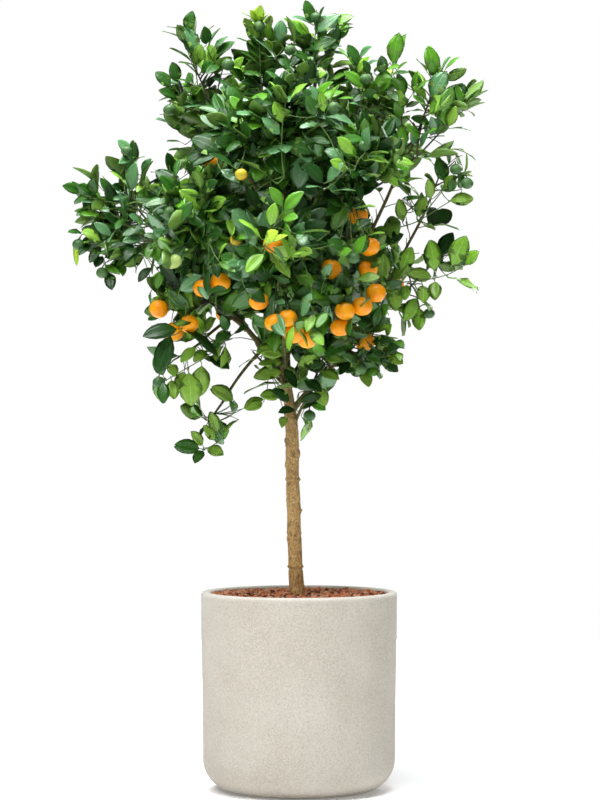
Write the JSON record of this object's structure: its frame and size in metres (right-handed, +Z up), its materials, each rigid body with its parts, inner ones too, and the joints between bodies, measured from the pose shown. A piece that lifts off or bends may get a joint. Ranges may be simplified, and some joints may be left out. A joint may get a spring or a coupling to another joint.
{
  "type": "potted calamondin orange tree",
  "caption": "Small citrus tree with a rounded, leafy crown and orange fruit on one clear stem, growing in a plain round pot with a rounded foot.",
  "frame": {"origin": "middle of the pot's flat underside, on the floor", "axes": "+Z up along the trunk, -Y the front seen in the picture, +X the viewer's right"},
  "size_m": [0.8254, 0.7618, 1.5376],
  "materials": {
    "pot": "matte cream with a fine pebbled grain",
    "soil": "dark crumbly potting mix",
    "mulch": "red-brown chips",
    "bark": "tan bark with knots and scars",
    "foliage": "glossy green leaves with orange and green fruit"
  },
  "bodies": {
    "root": {"pot": "pot", "soil": "soil", "mulch": "mulch", "trunk": "bark", "bough_top": "bark", "bough_crest": "bark", "bough_upper_left": "bark", "bough_upper_right": "bark", "bough_far_right": "bark", "bough_front_upper": "bark", "bough_front_right": "bark", "bough_back_upper_left": "bark", "bough_back_upper_right": "bark", "bough_left": "bark", "bough_left_front": "bark", "bough_front": "bark", "bough_right_low": "bark", "bough_front_low_right": "bark", "bough_right": "bark", "bough_low_right": "bark", "bough_low_left": "bark", "bough_hanging_left": "bark", "bough_hanging_low": "bark", "bough_back": "bark", "bough_back_low_left": "bark", "bough_back_low_right": "bark", "bough_skirt_left": "bark", "bough_skirt_right": "bark", "foliage_top": "foliage", "foliage_crest": "foliage", "foliage_upper_left": "foliage", "foliage_upper_right": "foliage", "foliage_far_right": "foliage", "foliage_front_upper": "foliage", "foliage_front_right": "foliage", "foliage_back_upper_left": "foliage", "foliage_back_upper_right": "foliage", "foliage_left": "foliage", "foliage_left_front": "foliage", "foliage_front": "foliage", "foliage_right_low": "foliage", "foliage_front_low_right": "foliage", "foliage_right": "foliage", "foliage_low_right": "foliage", "foliage_low_left": "foliage", "foliage_hanging_left": "foliage", "foliage_hanging_low": "foliage", "foliage_back": "foliage", "foliage_back_low_left": "foliage", "foliage_back_low_right": "foliage", "foliage_skirt_left": "foliage", "foliage_skirt_right": "foliage"}
  },
  "joints": []
}
